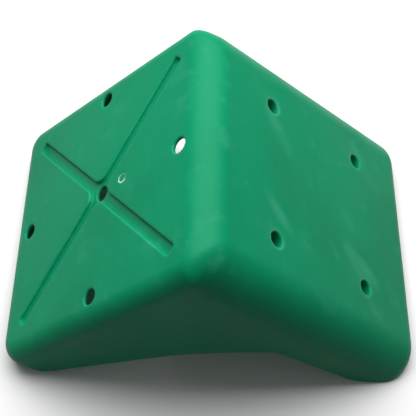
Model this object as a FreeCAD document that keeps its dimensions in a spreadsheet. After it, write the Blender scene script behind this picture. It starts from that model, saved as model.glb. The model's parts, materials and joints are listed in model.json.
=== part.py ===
"""Tent-shaped mounting shell: one thin-walled plastic moulding and its vent plug.

Two square wings meet at a rounded ridge.  The left wing carries an X-shaped channel and
five bolt holes; the right wing has four bored bosses.  A wall closes each end, and the
underside is open, with an arched rim cut straight through from end to end.

Row frame: +Z up, Y along the ridge, origin at the bottom centre of the overall box.
Each body is drawn in the wing frame: x runs down the left wing from the sharp ridge
corner, z runs down the right wing and y runs along the ridge.
"""
import FreeCAD, Part
import math
import os

import Sketcher
from FreeCAD import Placement, Rotation, Vector

# Driving dimensions in millimetres, slopes in degrees.
SIZES = [
    ("shell_length", 253.0, "length along the ridge at the face of the left wing"),
    ("end_draft", 1.2, "slope of each end wall away from the left wing"),
    ("left_width", 266.0, "sharp ridge corner to the outside of the left lip"),
    ("right_width", 276.0, "sharp ridge corner to the outside of the right lip"),
    ("wall", 4.0, "moulded wall thickness"),
    ("ridge_radius", 26.0, "outside radius of the ridge"),
    ("corner_radius", 34.0, "outside radius at the ends of the right wing"),
    ("lip_corner", 23.0, "outside radius at the ends of the left lip"),
    ("edge_radius", 17.0, "outside radius of every other edge"),
    ("ridge_height", 205.0, "resting plane to the sharp ridge corner"),
    ("arch_height", 59.0, "resting plane to the top of the rim"),
    ("arch_rise", 21.0, "slope of the rim below the left wing"),
    ("arch_fall", 39.0, "slope of the rim below the right wing"),
    ("left_foot", 151.0, "ridge to where the left foot ends"),
    ("right_foot", 135.0, "ridge to where the right foot ends"),
    ("crown_radius", 270.0, "rim radius between the left slope and the top"),
    ("knee_radius", 22.0, "rim radius between the top and the right slope"),
    ("foot_radius", 45.0, "rim radius between the right slope and the right foot"),
    ("cross_centre", 136.0, "sharp ridge corner to the middle of the cross"),
    ("cross_reach_x", 97.5, "middle of the cross to an arm's end, down the wing"),
    ("cross_reach_y", 96.0, "middle of the cross to an arm's end, along the ridge"),
    ("channel_width", 10.0, "width of the cross channel"),
    ("channel_depth", 4.0, "depth of the cross channel"),
    ("channel_corner", 11.0, "rounding between neighbouring arms of the channel"),
    ("channel_end", 2.5, "rounding at the ends of the arms"),
    ("mouth_radius", 1.0, "rounding of each channel and hole where it meets a wing"),
    ("bolt_hole", 14.0, "diameter of every bolt hole"),
    ("left_circle", 205.0, "pitch circle of the outer holes in the left wing"),
    ("right_centre", 141.0, "sharp ridge corner to the middle of the right pattern"),
    ("right_pitch_x", 119.0, "hole spacing down the right wing"),
    ("right_pitch_y", 135.0, "hole spacing along the ridge in the right wing"),
    ("boss_outside", 24.0, "outside diameter of the bosses behind the right wing"),
    ("boss_length", 14.0, "length of those bosses inside the wall"),
    ("plug_offset", 32.0, "middle of the cross to the vent plug, towards the ridge"),
    ("plug_head", 10.0, "diameter of the vent plug's head"),
    ("plug_seat", 1.0, "depth of the seat that holds the head"),
    ("plug_shank", 5.6, "diameter of the vent plug's shank"),
    ("plug_barb", 0.6, "how far the barb stands out from the shank all round"),
    ("plug_lead", 2.0, "length of the barb's tapered lead"),
    ("plug_nose", 3.0, "diameter of the barb's small end"),
    ("plug_gap", 0.1, "clearance between plug and shell all round"),
]
SHARP_TURN = math.radians(30)
TOUCH = 1e-6
WING_TURN = 135

doc = FreeCAD.newDocument("tent_mount")
sheet = doc.addObject("Spreadsheet::Sheet", "sizes")
for row, (alias, number, meaning) in enumerate(SIZES, start=1):
    sheet.set(f"A{row}", meaning)
    sheet.set(f"B{row}", str(number))
    sheet.setAlias(f"B{row}", alias)
doc.recompute()


def value(formula):
    """Number that a formula over the sheet gives now."""
    return float(sheet.evalExpression(formula))


def bind(feature, formulas):
    """Tie properties of a feature to formulas over the sheet."""
    for name, formula in formulas.items():
        feature.setExpression(name, formula)


def origin_plane(body, role):
    """One of a body's own origin planes."""
    for feature in body.Origin.OriginFeatures:
        if feature.Role == role:
            return feature
    raise ValueError(role)


def new_sketch(body, name, role, raised="0"):
    """Sketch on an origin plane, moved along the plane's normal by a formula."""
    sketch = body.newObject("Sketcher::SketchObject", name)
    sketch.AttachmentSupport = [(origin_plane(body, role), "")]
    sketch.MapMode = "FlatFace"
    sketch.setExpression("AttachmentOffset.Base.z", raised)
    return sketch


def constrain(sketch, kind, refs, formula):
    """Dimension in a sketch, bound to a formula."""
    index = sketch.addConstraint(Sketcher.Constraint(kind, *refs, value(formula)))
    name = f"size_{index}"
    sketch.renameConstraint(index, name)
    sketch.setExpression(f"Constraints.{name}", formula)


def circle(sketch, x, y, radius):
    """Circle in a sketch, from three formulas."""
    centre = Vector(value(x), value(y), 0)
    index = sketch.addGeometry(Part.Circle(centre, Vector(0, 0, 1), value(radius)))
    constrain(sketch, "Radius", (index,), radius)
    constrain(sketch, "DistanceX", (-1, 1, index, 3), x)
    constrain(sketch, "DistanceY", (-1, 1, index, 3), y)


def outline(sketch, corners):
    """Closed outline of straight lines in a sketch, from pairs of formulas."""
    points = [Vector(value(x), value(y), 0) for x, y in corners]
    lines = []
    for start, end in zip(points, points[1:] + points[:1]):
        lines.append(sketch.addGeometry(Part.LineSegment(start, end)))
    for line, following in zip(lines, lines[1:] + lines[:1]):
        sketch.addConstraint(Sketcher.Constraint("Coincident", line, 2, following, 1))
    for line, (x, y) in zip(lines, corners):
        constrain(sketch, "DistanceX", (-1, 1, line, 1), x)
        constrain(sketch, "DistanceY", (-1, 1, line, 1), y)


def pad(body, name, sketch, length):
    """Solid raised from a sketch towards the inside of the shell."""
    feature = body.newObject("PartDesign::Pad", name)
    feature.Profile = sketch
    bind(feature, {"Length": length})
    doc.recompute()
    return feature


def pocket(body, name, sketch, length):
    """Cut from a sketch towards the inside of the shell, which must remove material."""
    before = body.Shape.Volume
    feature = body.newObject("PartDesign::Pocket", name)
    feature.Profile = sketch
    feature.Reversed = True
    bind(feature, {"Length": length})
    doc.recompute()
    if body.Shape.Volume >= before:
        raise ValueError(f"{name} cuts nothing")
    return feature


def fillet(body, name, edges, radius):
    """Round the numbered edges of a body."""
    base = body.Tip
    feature = body.newObject("PartDesign::Fillet", name)
    feature.Base = (base, [f"Edge{index}" for index in edges])
    bind(feature, {"Radius": radius})
    doc.recompute()
    return feature


def edges_along(shape, x, z):
    """Numbers of the edges that run along the ridge direction at one place in the section."""
    numbers = []
    for index, edge in enumerate(shape.Edges, start=1):
        ends = [vertex.Point for vertex in edge.Vertexes]
        if all(math.hypot(end.x - x, end.z - z) < TOUCH for end in ends):
            numbers.append(index)
    return numbers


def edges_inward(shape, places, depth):
    """Numbers of the edges that run inwards from the left wing at given places, to a depth."""
    numbers = []
    for index, edge in enumerate(shape.Edges, start=1):
        low, high = edge.BoundBox.ZMin, edge.BoundBox.ZMax
        centre = edge.CenterOfMass
        if abs(high - depth) < TOUCH and high - low > TOUCH:
            if any(math.hypot(centre.x - value(x), centre.y - value(y)) < TOUCH
                   for x, y in places):
                numbers.append(index)
    return numbers


def sharp_edges(shape):
    """Numbers of the edges where two faces meet at an angle."""
    numbers = []
    for index, edge in enumerate(shape.Edges, start=1):
        middle = edge.valueAt((edge.FirstParameter + edge.LastParameter) / 2)
        sides = [face for face in shape.Faces if any(edge.isSame(side) for side in face.Edges)]
        normals = [face.normalAt(*face.Surface.parameter(middle)) for face in sides]
        if len(normals) == 2 and normals[0].getAngle(normals[1]) > SHARP_TURN:
            numbers.append(index)
    return numbers


def mouth_edges(shape, axis):
    """Numbers of the edges round every opening in the wing face at zero on one axis."""
    wings = [face for face in shape.Faces if abs(getattr(face.BoundBox, axis + "Max")) < TOUCH]
    wing = max(wings, key=lambda face: face.Area)
    mouths = [edge for wire in wing.Wires[1:] for edge in wire.Edges]
    numbers = []
    for index, edge in enumerate(shape.Edges, start=1):
        if any(edge.isSame(mouth) for mouth in mouths):
            numbers.append(index)
    return numbers


def end_radii(edge, half_length, inset):
    """Radius at the two ends of an edge of the block."""
    lip = value(f"sizes.left_width - {inset}")
    rim = value(f"sizes.right_width - {inset}")
    ends = [edge.valueAt(edge.FirstParameter), edge.valueAt(edge.LastParameter)]
    at_end_wall = all(abs(abs(end.y) - half_length(end.z)) < TOUCH for end in ends)
    at_end_wall = at_end_wall and ends[0].y * ends[1].y > 0
    along_lip = all(abs(end.x - lip) < TOUCH for end in ends)
    along_rim = all(abs(end.z - rim) < TOUCH for end in ends)
    radii = []
    for end in ends:
        chosen = "edge_radius"
        if at_end_wall and along_lip:
            chosen = "lip_corner"
        elif at_end_wall and not along_rim and abs(end.x - value(inset)) < TOUCH:
            chosen = "corner_radius"
        radii.append(value(f"sizes.{chosen} - {inset}"))
    if edge.Orientation == "Reversed":
        radii.reverse()
    return tuple(radii)


def rounded_block(name, inset):
    """Body between the two wing planes with every edge rounded, shrunk all round by a formula."""
    slope = "tan(sizes.end_draft * 1 deg)"
    sides = f"(sizes.shell_length / 2 - {inset} / cos(sizes.end_draft * 1 deg))"
    near = f"({sides} + {inset} * {slope})"
    far = f"({sides} + (sizes.right_width - {inset}) * {slope})"
    block = doc.addObject("Part::Wedge", f"{name}_block")
    block.Placement = Placement(Vector(), Rotation(Vector(1, 1, 1), 120))
    bind(block, {
        "Xmin": f"-{near}", "Xmax": near, "X2min": f"-{far}", "X2max": far,
        "Ymin": inset, "Ymax": f"sizes.right_width - {inset}",
        "Zmin": inset, "Zmax": f"sizes.left_width - {inset}",
        "Z2min": inset, "Z2max": f"sizes.left_width - {inset}",
    })
    doc.recompute()

    ridge = doc.addObject("Part::Fillet", f"{name}_ridge")
    ridge.Base = block
    radius = value(f"sizes.ridge_radius - {inset}")
    corner = value(inset)
    ridge.Edges = [(index, radius, radius) for index in edges_along(block.Shape, corner, corner)]
    doc.recompute()

    def half_length(down):
        return value(sides) + down * value(slope)

    rounded = doc.addObject("Part::Fillet", f"{name}_edges")
    rounded.Base = ridge
    rounded.Edges = [(index, *end_radii(ridge.Shape.Edges[index - 1], half_length, inset))
                     for index in sharp_edges(ridge.Shape)]
    doc.recompute()

    body = doc.addObject("PartDesign::Body", name)
    body.Label = name
    body.BaseFeature = rounded
    doc.recompute()
    return body


def cross_corners(grow):
    """Corners of the X outline, widened and lengthened by a formula: each neck, then two tips."""
    diagonal = "hypot(sizes.cross_reach_x; sizes.cross_reach_y)"
    half = f"(sizes.channel_width / 2 + {grow})"
    reach = f"(1 + {grow} / {diagonal})"
    neck_x = f"{half} * {diagonal} / sizes.cross_reach_y"
    neck_y = f"{half} * {diagonal} / sizes.cross_reach_x"
    side_x = f"{half} * sizes.cross_reach_y / {diagonal}"
    side_y = f"{half} * sizes.cross_reach_x / {diagonal}"
    necks = [(f"{neck_x}", "0"), ("0", f"{neck_y}"), (f"-{neck_x}", "0"), ("0", f"-{neck_y}")]
    corners = []
    for (neck, along), (x, y) in zip(necks, [(1, 1), (-1, 1), (-1, -1), (1, -1)]):
        tip_x = f"{x} * {reach} * sizes.cross_reach_x"
        tip_y = f"{y} * {reach} * sizes.cross_reach_y"
        corners.append((f"sizes.cross_centre + {neck}", along))
        for side in (1, -1):
            corners.append((f"sizes.cross_centre + {tip_x} + {side * y} * {side_x}",
                            f"{tip_y} - {side * x} * {side_y}"))
    return corners


def round_cross(name, corners, depth, neck_radius, tip_radius):
    """Round the X where its arms meet and at their ends, on the walls that end at a depth."""
    necks = corners[0::3]
    tips = corners[1::3] + corners[2::3]
    for part, places, radius in (("necks", necks, neck_radius), ("tips", tips, tip_radius)):
        edges = edges_inward(shell.Shape, places, value(depth))
        fillet(shell, f"{name}_{part}", edges, radius)


def vertical_sketch(body, name):
    """Sketch looking along the ridge, drawn from the resting plane straight below it."""
    sketch = new_sketch(body, name, "XZ_Plane")
    sketch.AttachmentOffset = Placement(Vector(), Rotation(Vector(0, 0, 1), WING_TURN))
    bind(sketch, {
        "AttachmentOffset.Base.x": "sizes.ridge_height / sqrt(2)",
        "AttachmentOffset.Base.y": "sizes.ridge_height / sqrt(2)",
    })
    return sketch


def rounded_corner(corner, radius, before, after):
    """Tangent points of an arc at a corner, from its radius and the two slopes that it joins."""
    x, y = corner
    reach = f"{radius} * tan(abs({after} - {before}) / 2 * 1 deg)"
    start = (f"{x} - {reach} * cos({before} * 1 deg)", f"{y} - {reach} * sin({before} * 1 deg)")
    end = (f"{x} + {reach} * cos({after} * 1 deg)", f"{y} + {reach} * sin({after} * 1 deg)")
    return start, end


def arc(sketch, start_line, end_line, radius, before, after):
    """Arc in a sketch from the end of one line to the start of another, tangent to both."""
    sign = 1 if value(f"{after} - {before}") > 0 else -1
    size = value(radius)
    start = sketch.Geometry[start_line].EndPoint
    first = math.radians(value(before)) - sign * math.pi / 2
    last = math.radians(value(after)) - sign * math.pi / 2
    centre = start - Vector(math.cos(first), math.sin(first), 0) * size
    low, high = sorted((first, last))
    index = sketch.addGeometry(Part.ArcOfCircle(Part.Circle(centre, Vector(0, 0, 1), size), low, high))
    near_end, far_end = (1, 2) if first < last else (2, 1)
    sketch.addConstraint(Sketcher.Constraint("Coincident", start_line, 2, index, near_end))
    sketch.addConstraint(Sketcher.Constraint("Coincident", end_line, 1, index, far_end))
    constrain(sketch, "Radius", (index,), radius)


def straight(sketch, start, end):
    """Line in a sketch with both ends dimensioned, from two pairs of formulas."""
    points = [Vector(value(x), value(y), 0) for x, y in (start, end)]
    index = sketch.addGeometry(Part.LineSegment(*points))
    for vertex, (x, y) in enumerate((start, end), start=1):
        constrain(sketch, "DistanceX", (-1, 1, index, vertex), x)
        constrain(sketch, "DistanceY", (-1, 1, index, vertex), y)
    return index


# The block, hollowed by a second one a wall's thickness inside it.
shell = rounded_block("moulded_shell", "0")
core = rounded_block("core", "sizes.wall")
hollow = shell.newObject("PartDesign::Boolean", "hollow")
hollow.Type = "Cut"
hollow.addObjects([core])
doc.recompute()

# The cross: a channel with rounded corners, whose wall follows it on the inside.
backing_corners = cross_corners("sizes.wall")
cross_backing = new_sketch(shell, "cross_backing", "XY_Plane", "sizes.wall / 2")
outline(cross_backing, backing_corners)
pad(shell, "backing", cross_backing, "sizes.wall / 2 + sizes.channel_depth")
round_cross("backing", backing_corners, "sizes.wall + sizes.channel_depth",
            "sizes.channel_corner - sizes.wall", "sizes.channel_end + sizes.wall")
channel_corners = cross_corners("0")
cross_mouth = new_sketch(shell, "cross_mouth", "XY_Plane")
outline(cross_mouth, channel_corners)
pocket(shell, "channel", cross_mouth, "sizes.channel_depth")
round_cross("channel", channel_corners, "sizes.channel_depth", "sizes.channel_corner",
            "sizes.channel_end")

# The underside: the rim rises from the left foot to a level top and drops to the right foot.
rim_reach = "(sizes.left_width + sizes.right_width)"
fall = "(0 - sizes.arch_fall)"
crown_corner = ("(sizes.arch_height / tan(sizes.arch_rise * 1 deg) - sizes.left_foot)",
                "sizes.arch_height")
knee_corner = ("(sizes.right_foot - sizes.arch_height / tan(sizes.arch_fall * 1 deg))",
               "sizes.arch_height")
foot_corner = ("sizes.right_foot", "0")
bends = [
    (crown_corner, "sizes.crown_radius", "sizes.arch_rise", "0"),
    (knee_corner, "sizes.knee_radius", "0", fall),
    (foot_corner, "sizes.foot_radius", fall, "0"),
]
below_rim = vertical_sketch(shell, "below_rim")
rim_points = [("-sizes.left_foot", "0")]
for bend in bends:
    rim_points += rounded_corner(*bend)
rim_points.append((rim_reach, "0"))
rim_lines = [straight(below_rim, *rim_points[at:at + 2]) for at in range(0, len(rim_points), 2)]
for start_line, end_line, (_, radius, before, after) in zip(rim_lines, rim_lines[1:], bends):
    arc(below_rim, start_line, end_line, radius, before, after)
under_points = [rim_points[-1], (rim_reach, f"-{rim_reach}"), (f"-{rim_reach}", f"-{rim_reach}"),
                (f"-{rim_reach}", "0"), rim_points[0]]
for ends in zip(under_points, under_points[1:]):
    straight(below_rim, *ends)
underside = pocket(shell, "underside", below_rim, "2 * sizes.shell_length")
underside.Midplane = True
doc.recompute()

# The bolt holes: one where the arms cross and four round it in the left wing, four bosses in the right.
left_holes = new_sketch(shell, "left_holes", "XY_Plane")
bolt_radius = "sizes.bolt_hole / 2"
for x, y in [(0, 0), (1, 0), (0, 1), (-1, 0), (0, -1)]:
    circle(left_holes, f"sizes.cross_centre + {x} * sizes.left_circle / 2",
           f"{y} * sizes.left_circle / 2", bolt_radius)
pocket(shell, "left_bores", left_holes, "2 * sizes.wall + sizes.channel_depth")
right_bosses = new_sketch(shell, "right_bosses", "YZ_Plane", "sizes.wall / 2")
right_holes = new_sketch(shell, "right_holes", "YZ_Plane")
for x, y in [(1, 1), (-1, 1), (-1, -1), (1, -1)]:
    along = f"{y} * sizes.right_pitch_y / 2"
    down = f"sizes.right_centre + {x} * sizes.right_pitch_x / 2"
    circle(right_bosses, along, down, "sizes.boss_outside / 2")
    circle(right_holes, along, down, bolt_radius)
pad(shell, "bosses", right_bosses, "sizes.wall / 2 + sizes.boss_length")
pocket(shell, "right_bores", right_holes, "2 * sizes.wall + sizes.boss_length")

# Every channel and hole is rounded where it opens on a wing.
fillet(shell, "left_mouths", mouth_edges(shell.Shape, "Z"), "sizes.mouth_radius")
fillet(shell, "right_mouths", mouth_edges(shell.Shape, "X"), "sizes.mouth_radius")

# The vent: a seat for the plug's head and a hole for its shank, beside the cross.
vent_centre = "sizes.cross_centre - sizes.plug_offset"
vent_seat = new_sketch(shell, "vent_seat", "XY_Plane")
circle(vent_seat, vent_centre, "0", "sizes.plug_head / 2 + sizes.plug_gap")
pocket(shell, "seat", vent_seat, "sizes.plug_seat")
vent_hole = new_sketch(shell, "vent_hole", "XY_Plane")
circle(vent_hole, vent_centre, "0", "sizes.plug_shank / 2 + sizes.plug_gap")
pocket(shell, "vent", vent_hole, "2 * sizes.wall")

# The vent plug: a flat head in its seat, a shank through the wall and a barb behind it.
plug = doc.addObject("PartDesign::Body", "vent_plug")
plug.Label = "vent_plug"
half_section = new_sketch(plug, "half_section", "XZ_Plane")
outline(half_section, [
    ("0", "0"),
    ("sizes.plug_head / 2", "0"),
    ("sizes.plug_head / 2", "sizes.plug_seat"),
    ("sizes.plug_shank / 2", "sizes.plug_seat"),
    ("sizes.plug_shank / 2", "sizes.wall"),
    ("sizes.plug_shank / 2 + sizes.plug_barb", "sizes.wall"),
    ("sizes.plug_nose / 2", "sizes.wall + sizes.plug_lead"),
    ("0", "sizes.wall + sizes.plug_lead"),
])
turned = plug.newObject("PartDesign::Revolution", "turned")
turned.Profile = half_section
turned.ReferenceAxis = (half_section, ["V_Axis"])
turned.Angle = 360
doc.recompute()

# The wing frame is turned so that the ridge points up, and both bodies are placed in it.
ridge_across = "(sizes.left_width - sizes.right_width) / (2 * sqrt(2))"
for body, down_wing in [(shell, "0"), (plug, f"({vent_centre})")]:
    body.Placement = Placement(Vector(), Rotation(Vector(0, 1, 0), WING_TURN))
    bind(body, {
        "Placement.Base.x": f"{ridge_across} - {down_wing} / sqrt(2)",
        "Placement.Base.z": f"sizes.ridge_height - {down_wing} / sqrt(2)",
    })
doc.recompute()

for feature in doc.Objects:
    if "Invalid" in feature.State or "Error" in feature.State:
        raise ValueError(f"{feature.Name} failed: {feature.State}")
for body in (shell, plug):
    if body.Shape.isNull() or not body.Shape.isValid() or len(body.Shape.Solids) != 1:
        raise ValueError(f"{body.Label} is not one sound solid")

os.makedirs("parts", exist_ok=True)
for body in (shell, plug):
    body.Shape.exportStep(f"parts/{body.Label}.step")
    box = body.Shape.BoundBox
    print(f"{body.Label}: X {box.XMin:.2f} to {box.XMax:.2f}, Y {box.YMin:.2f} to {box.YMax:.2f}, "
          f"Z {box.ZMin:.2f} to {box.ZMax:.2f}, volume {body.Shape.Volume:.0f} mm3")
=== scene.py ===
"""Looks of the tent-shaped mounting shell: green polyethylene on a white table in soft light.

Metres, in the CAD frame: +Z up, Y along the ridge, the wing with the cross on the left.
"""

import json
import math

import bpy
import numpy as np
from mathutils import Matrix, Vector


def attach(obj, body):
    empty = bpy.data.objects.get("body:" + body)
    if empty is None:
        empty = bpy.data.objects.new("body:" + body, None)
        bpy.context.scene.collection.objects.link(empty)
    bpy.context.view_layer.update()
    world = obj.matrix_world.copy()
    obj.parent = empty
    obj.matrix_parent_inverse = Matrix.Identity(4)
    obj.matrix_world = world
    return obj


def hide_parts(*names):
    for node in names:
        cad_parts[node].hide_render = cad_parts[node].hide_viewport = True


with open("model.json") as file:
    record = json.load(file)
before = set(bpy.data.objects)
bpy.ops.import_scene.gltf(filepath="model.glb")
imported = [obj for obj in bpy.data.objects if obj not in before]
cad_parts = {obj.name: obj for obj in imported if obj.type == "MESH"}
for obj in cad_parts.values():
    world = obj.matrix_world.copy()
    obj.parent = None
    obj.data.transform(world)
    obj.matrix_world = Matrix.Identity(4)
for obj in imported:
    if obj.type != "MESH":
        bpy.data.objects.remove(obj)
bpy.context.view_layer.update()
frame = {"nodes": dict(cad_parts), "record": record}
scene = bpy.context.scene

# The block: the sharp corner where the wings' faces would meet, and the right wing's directions.
RIDGE = Vector((-0.0035355, 0.0, 0.205))
WALL = 0.004
RIGHT_OUT = Vector((1.0, 0.0, 1.0)).normalized()
RIGHT_DOWN = Vector((1.0, 0.0, -1.0)).normalized()

# The skin: mesh size, strength of each smoothing step, and steps before and after it is seated.
VOXEL = 0.0013
SMOOTHING = 0.5
SETTLE_STEPS = 4
SOFTEN_STEPS = 4

# Linear colours and sheen of the plastic; the last two colours are painted highlights, on edges and on
# the plug.
GREEN = (0.0020, 0.262, 0.118, 1.0)
GREEN_DEEP = (0.0012, 0.218, 0.096, 1.0)
GREEN_PALE = (0.046, 0.350, 0.205, 1.0)
GREEN_EDGE_HIGHLIGHT = (0.050, 0.400, 0.240, 1.0)
GREEN_GLINT = (0.55, 0.86, 0.72, 1.0)
SHEEN = 0.09

# Noise scales of the shell's plastic, per metre, and of the plug's.
CLOUD_SCALE = 9.0
MOTTLE_SCALE = 46.0
GRAIN_SCALE = 1400.0
SPECK_SCALE = 900.0

# Painted highlight streaks on the right wing, each from a hole: down the wing and along the ridge to
# its middle, length, width, strength.
HIGHLIGHT_STREAKS = {
    "right_bore_near_front": [(0.006, 0.024, 0.028, 0.010, 0.55), (-0.004, 0.034, 0.022, 0.010, 0.30)],
    "right_bore_far_front": [(-0.010, 0.020, 0.036, 0.014, 0.60), (0.008, 0.016, 0.024, 0.010, 0.60),
                             (0.010, -0.018, 0.024, 0.010, 0.30)],
    "right_bore_near_back": [(0.000, -0.014, 0.022, 0.011, 0.50), (0.010, -0.028, 0.030, 0.013, 0.30)],
    "right_bore_far_back": [(0.003, 0.012, 0.022, 0.009, 0.45), (0.022, -0.012, 0.030, 0.012, 0.20)],
}
STREAK_TURN = math.radians(-41.0)

# Painted highlight: a pale ring round each right hole.
RING_REACH = 0.0085
RING_WIDTH = 0.0022
RING_STRENGTH = 0.55

# Sink beside each boss: depth, reach, and its middle down the wing and along the ridge from the hole.
SINK_DEPTH = 0.0006
SINK_REACH = 0.030
SINK_DOWN = -0.002
SINK_ALONG = 0.016

# Slight unevenness of the right wing: depth, each wave in radians per metre with its phase, place
# and reach.  Only skin that faces nearly straight out of the wing is moved.
SWELL_DEPTH = 0.0007
SWELL_ALONG = (38.0, 0.6)
SWELL_DOWN = (31.0, 1.9)
SWELL_MIDDLE_X = 0.085
SWELL_REACH_X = 0.075
SWELL_REACH_Y = 0.105
FACING = 0.9

# Painted glint: a white ring on the plug's head, strongest on the side that faces this way.
PLUG_LIT = (-0.45, -0.80, -0.40)
PLUG_GLINT_INNER = 0.0034
PLUG_GLINT_OUTER = 0.0042
PLUG_GLINT_FAINT = 0.12

# Table, room and light.
TABLE_SIZE = 6.0
TABLE_GREY = (0.90, 0.90, 0.90, 1.0)
TABLE_WHITE = (0.94, 0.94, 0.94, 1.0)
ROOM_STRENGTH = 0.13
LIGHT_PLACE = (-0.03, 0.42, 1.05)
LIGHT_AIM = (0.0, 0.05, 0.1)
LIGHT_WIDTH = 1.5
LIGHT_DEPTH = 1.0
LIGHT_POWER = 22.5

# Camera above the near end of the ridge.  Its sensor and focal length are in millimetres.
EYE = Vector((0.00136, -0.43513, 0.79226))
GAZE = Vector((-0.00508, 0.52339, -0.85208))
ROLL = math.radians(0.32)
SENSOR_WIDTH = 36.0
FOCAL_LENGTH = 79.56


class Nodes:
    """Shader tree of one material, built up node by node."""

    def __init__(self, name):
        self.material = bpy.data.materials.new(name)
        self.material.use_nodes = True
        self.tree = self.material.node_tree
        self.shader = self.tree.nodes["Principled BSDF"]

    def add(self, kind, settings=None, **inputs):
        """Node of one kind, with settings on it and values or links on its inputs."""
        node = self.tree.nodes.new(kind)
        for key, setting in (settings or {}).items():
            setattr(node, key, setting)
        for key, given in inputs.items():
            self.feed(node, key.replace("_", " "), given)
        return node

    def feed(self, node, key, given):
        """Value or link put on one input of a node, found by name or by i and its number."""
        numbered = key[0] == "i" and key[1:].isdigit()
        socket = node.inputs[int(key[1:]) if numbered else key]
        if isinstance(given, bpy.types.NodeSocket):
            self.tree.links.new(given, socket)
        else:
            socket.default_value = given

    def look(self, key, given):
        """Value or link put on one input of the shader."""
        self.feed(self.shader, key, given)

    def math(self, operation, first, second=0.0, third=0.0):
        """Result of one step of arithmetic."""
        node = self.add("ShaderNodeMath", {"operation": operation}, i0=first, i1=second, i2=third)
        return node.outputs[0]

    def noise(self, vector, scale, detail=2.0, roughness=0.5):
        """Value noise at one scale."""
        node = self.add("ShaderNodeTexNoise", {"noise_dimensions": "3D"}, Vector=vector,
                        Scale=scale, Detail=detail, Roughness=roughness)
        return node.outputs["Fac"]

    def band(self, given, low, high, out_low=0.0, out_high=1.0):
        """Smooth step between two values."""
        node = self.add("ShaderNodeMapRange", {"interpolation_type": "SMOOTHSTEP"}, i0=given,
                        i1=low, i2=high, i3=out_low, i4=out_high)
        return node.outputs[0]

    def mix(self, factor, first, second):
        """Mixed colour."""
        node = self.add("ShaderNodeMix", {"data_type": "RGBA"}, i0=factor, i6=first, i7=second)
        return node.outputs[2]

    def vector(self, operation, first, second):
        """Number from two vectors."""
        node = self.add("ShaderNodeVectorMath", {"operation": operation}, i0=first, i1=second)
        return node.outputs["Value"]

    def place(self):
        """Place in the object, in metres."""
        return self.add("ShaderNodeTexCoord").outputs["Object"]


def shell_plastic():
    """Satin moulded plastic: cloudy colour, painted highlight streaks, painted highlight on convex
    edges and a faint mould texture.
    """
    nodes = Nodes("shell_plastic")
    place = nodes.place()
    cloud = nodes.noise(place, CLOUD_SCALE, detail=3.0, roughness=0.5)
    mottle = nodes.noise(place, MOTTLE_SCALE, detail=4.0, roughness=0.6)
    grain = nodes.noise(place, GRAIN_SCALE, detail=2.0, roughness=0.5)

    colour = nodes.mix(nodes.band(cloud, 0.38, 0.66, out_high=0.75), GREEN, GREEN_DEEP)
    colour = nodes.mix(nodes.band(mottle, 0.50, 0.78, out_high=0.30), colour, GREEN_PALE)
    # Painted highlights: pale streaks and rings round the right holes, read from the mesh.
    painted_highlight = nodes.add("ShaderNodeAttribute", {"attribute_name": "painted_highlight"}).outputs["Fac"]
    painted_highlight = nodes.math("MULTIPLY", painted_highlight, nodes.band(mottle, 0.25, 0.65, 0.45, 1.0))
    colour = nodes.mix(painted_highlight, colour, GREEN_PALE)
    # Painted highlight: convex edges paler, in patches, and a little rougher there.
    edge = nodes.add("ShaderNodeNewGeometry").outputs["Pointiness"]
    patchy = nodes.band(mottle, 0.35, 0.6, 0.2, 0.55)
    edge_highlight = nodes.math("MULTIPLY", nodes.band(edge, 0.515, 0.56), patchy)
    nodes.look("Base Color", nodes.mix(edge_highlight, colour, GREEN_EDGE_HIGHLIGHT))

    rough = nodes.band(mottle, 0.30, 0.75, 0.40, 0.52)
    nodes.look("Roughness", nodes.math("MULTIPLY_ADD", edge_highlight, 0.10, rough))
    nodes.look("Specular IOR Level", SHEEN)
    nodes.look("Subsurface Weight", 0.08)
    nodes.look("Subsurface Radius", (0.4, 1.0, 0.7))
    nodes.look("Subsurface Scale", 0.004)

    ripple = nodes.add("ShaderNodeBump", Height=cloud, Strength=0.18, Distance=0.004)
    texture = nodes.add("ShaderNodeBump", Height=mottle, Strength=0.12, Distance=0.0008,
                        Normal=ripple.outputs[0])
    fine = nodes.add("ShaderNodeBump", Height=grain, Strength=0.10, Distance=0.0001,
                     Normal=texture.outputs[0])
    nodes.look("Normal", fine.outputs[0])
    return nodes.material


def plug_plastic(middle):
    """Green plastic with a painted glint: a broken white ring round the rim of a head with a given
    middle.
    """
    nodes = Nodes("plug_plastic")
    place = nodes.place()
    speck = nodes.noise(place, SPECK_SCALE, detail=3.0, roughness=0.6)
    reach = nodes.vector("DISTANCE", place, tuple(middle))
    slant = nodes.vector("DOT_PRODUCT", place, PLUG_LIT)
    slant = nodes.math("SUBTRACT", slant, float(np.dot(middle, PLUG_LIT)))
    glint = nodes.band(reach, PLUG_GLINT_INNER, PLUG_GLINT_OUTER)
    glint = nodes.math("MULTIPLY", glint, nodes.band(slant, -0.0025, 0.0012, out_low=PLUG_GLINT_FAINT))
    glint = nodes.math("MULTIPLY", glint, nodes.band(speck, 0.35, 0.55, out_low=0.35))
    nodes.look("Base Color", nodes.mix(glint, GREEN, GREEN_GLINT))
    nodes.look("Specular IOR Level", SHEEN)
    nodes.look("Roughness", nodes.band(speck, 0.3, 0.7, 0.42, 0.60))
    bump = nodes.add("ShaderNodeBump", Height=speck, Strength=0.15, Distance=0.0002)
    nodes.look("Normal", bump.outputs[0])
    return nodes.material


def table_white():
    """Matt white with a faint haze."""
    nodes = Nodes("table_white")
    haze = nodes.noise(nodes.place(), 3.0)
    nodes.look("Base Color", nodes.mix(haze, TABLE_GREY, TABLE_WHITE))
    nodes.look("Roughness", nodes.band(haze, 0.3, 0.7, 0.6, 0.7))
    nodes.look("Specular IOR Level", 0.0)
    return nodes.material


def mesh_arrays(mesh):
    """Vertex places and normals of a mesh."""
    count = len(mesh.vertices)
    places = np.empty(count * 3)
    normals = np.empty(count * 3)
    mesh.vertices.foreach_get("co", places)
    mesh.vertices.foreach_get("normal", normals)
    return places.reshape(-1, 3), normals.reshape(-1, 3)


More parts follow.
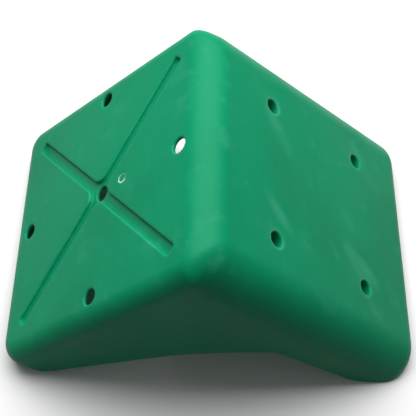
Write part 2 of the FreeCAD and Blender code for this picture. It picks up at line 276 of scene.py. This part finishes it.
def even_skin(source, name):
    """Evenly meshed copy of a CAD node that lies on its surface."""
    skin = bpy.data.objects.new(name, source.data.copy())
    scene.collection.objects.link(skin)
    remesh = skin.modifiers.new("even", "REMESH")
    remesh.mode = "VOXEL"
    remesh.voxel_size = VOXEL
    smooth = skin.modifiers.new("settle", "SMOOTH")
    smooth.factor = SMOOTHING
    smooth.iterations = SETTLE_STEPS
    wrap = skin.modifiers.new("seat", "SHRINKWRAP")
    wrap.target = source
    wrap.wrap_method = "NEAREST_SURFACEPOINT"
    soft = skin.modifiers.new("soften", "SMOOTH")
    soft.factor = SMOOTHING
    soft.iterations = SOFTEN_STEPS
    graph = bpy.context.evaluated_depsgraph_get()
    mesh = bpy.data.meshes.new_from_object(skin.evaluated_get(graph))
    skin.modifiers.clear()
    skin.data = mesh
    mesh.polygons.foreach_set("use_smooth", [True] * len(mesh.polygons))
    return skin


def fade(distance):
    """Falls smoothly from one at no distance to nothing at one and beyond."""
    left = np.clip(1.0 - distance, 0.0, 1.0)
    return left ** 2 * (3.0 - 2.0 * left)


def mark_right_wing(mesh):
    """Shallow sinks and a slight swell pressed into the right wing, and its painted highlights stored
    per vertex.
    """
    bores = {mount["name"]: mount["pos_m"] for mount in frame["record"]["mounts"]}
    places, normals = mesh_arrays(mesh)
    ridge = np.array(RIDGE)
    out = np.array(RIGHT_OUT)
    down_wing = np.array(RIGHT_DOWN)
    sink = np.zeros(len(places))
    painted_highlight = np.zeros(len(places))
    for name, streaks in HIGHLIGHT_STREAKS.items():
        middle = np.array(bores[name])
        rise = (ridge - middle) @ out
        offset = places - (middle + out * rise)
        down = offset @ down_wing
        along = offset[:, 1]
        sink += SINK_DEPTH * fade(np.hypot(down - SINK_DOWN, along - SINK_ALONG) / SINK_REACH)
        # Painted highlight: a pale ring round the hole.
        painted_highlight += RING_STRENGTH * fade(np.abs(np.hypot(down, along) - RING_REACH) / RING_WIDTH)
        # Painted highlight streaks beside the hole.
        for across, up, length, width, strength in streaks:
            far = (down - across) * math.cos(STREAK_TURN) + (along - up) * math.sin(STREAK_TURN)
            wide = (along - up) * math.cos(STREAK_TURN) - (down - across) * math.sin(STREAK_TURN)
            painted_highlight += strength * fade(np.hypot(far / length, wide / width))

    on_right = (normals @ out > FACING) & ((places - ridge) @ out > -WALL / 2)
    waves_along = np.sin(places[:, 1] * SWELL_ALONG[0] + SWELL_ALONG[1])
    waves_down = np.sin(places @ down_wing * SWELL_DOWN[0] + SWELL_DOWN[1])
    swell = 0.5 + 0.25 * (waves_along + waves_down)
    swell *= fade(np.abs(places[:, 1]) / SWELL_REACH_Y)
    swell *= fade(np.abs(places[:, 0] - SWELL_MIDDLE_X) / SWELL_REACH_X)
    sink = sink * on_right + SWELL_DEPTH * swell * on_right
    places -= normals * sink[:, None]
    mesh.vertices.foreach_set("co", places.ravel())
    # Painted highlight, kept per vertex for the shader.
    layer = mesh.attributes.new("painted_highlight", "FLOAT", "POINT")
    layer.data.foreach_set("value", np.clip(painted_highlight, 0, 1) * on_right)
    mesh.update()


def white_table():
    """Square table top at the resting plane, unseen by light that bounces off the shell."""
    half = TABLE_SIZE / 2
    corners = [(-half, -half, 0), (half, -half, 0), (half, half, 0), (-half, half, 0)]
    mesh = bpy.data.meshes.new("table")
    mesh.from_pydata(corners, [], [(0, 1, 2, 3)])
    table = bpy.data.objects.new("table", mesh)
    scene.collection.objects.link(table)
    mesh.materials.append(table_white())
    table.visible_diffuse = False
    return table


def white_room():
    """Dim white light from all round, shown with plain colours."""
    scene.view_settings.view_transform = "Standard"
    world = bpy.data.worlds.new("room")
    scene.world = world
    world.use_nodes = True
    background = world.node_tree.nodes["Background"]
    background.inputs["Color"].default_value = (1.0, 1.0, 1.0, 1.0)
    background.inputs["Strength"].default_value = ROOM_STRENGTH


def overhead_light():
    """Large soft rectangle above and behind the shell."""
    data = bpy.data.lights.new("overhead", "AREA")
    data.shape = "RECTANGLE"
    data.size = LIGHT_WIDTH
    data.size_y = LIGHT_DEPTH
    data.energy = LIGHT_POWER
    lamp = bpy.data.objects.new("overhead", data)
    scene.collection.objects.link(lamp)
    lamp.location = LIGHT_PLACE
    aim = Vector(LIGHT_AIM) - Vector(LIGHT_PLACE)
    lamp.rotation_euler = aim.to_track_quat("-Z", "Y").to_euler()


def long_lens_camera():
    """Camera at the eye point, turned along the gaze and rolled slightly."""
    lens = bpy.data.cameras.new("camera")
    lens.sensor_width = SENSOR_WIDTH
    lens.lens = FOCAL_LENGTH
    camera = bpy.data.objects.new("camera", lens)
    scene.collection.objects.link(camera)
    turn = GAZE.to_track_quat("-Z", "Y").to_matrix() @ Matrix.Rotation(ROLL, 3, "Z")
    camera.matrix_world = Matrix.Translation(EYE) @ turn.to_4x4()
    return camera


# The moulded shell shows as an even skin with shallow sinks, and painted highlight streaks beside the
# bosses.
skin = even_skin(frame["nodes"]["moulded_shell"], "moulded_skin")
mark_right_wing(skin.data)
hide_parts("moulded_shell")
skin.data.materials.clear()
skin.data.materials.append(shell_plastic())
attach(skin, "root")

# The vent plug keeps its CAD mesh.
plug = frame["nodes"]["vent_plug"]
plug_middle = np.array([corner[:] for corner in plug.bound_box]).mean(axis=0)
plug_material = plug_plastic(plug_middle)
for slot in plug.material_slots:
    slot.material = plug_material

white_table()
white_room()
overhead_light()
scene.camera = long_lens_camera()
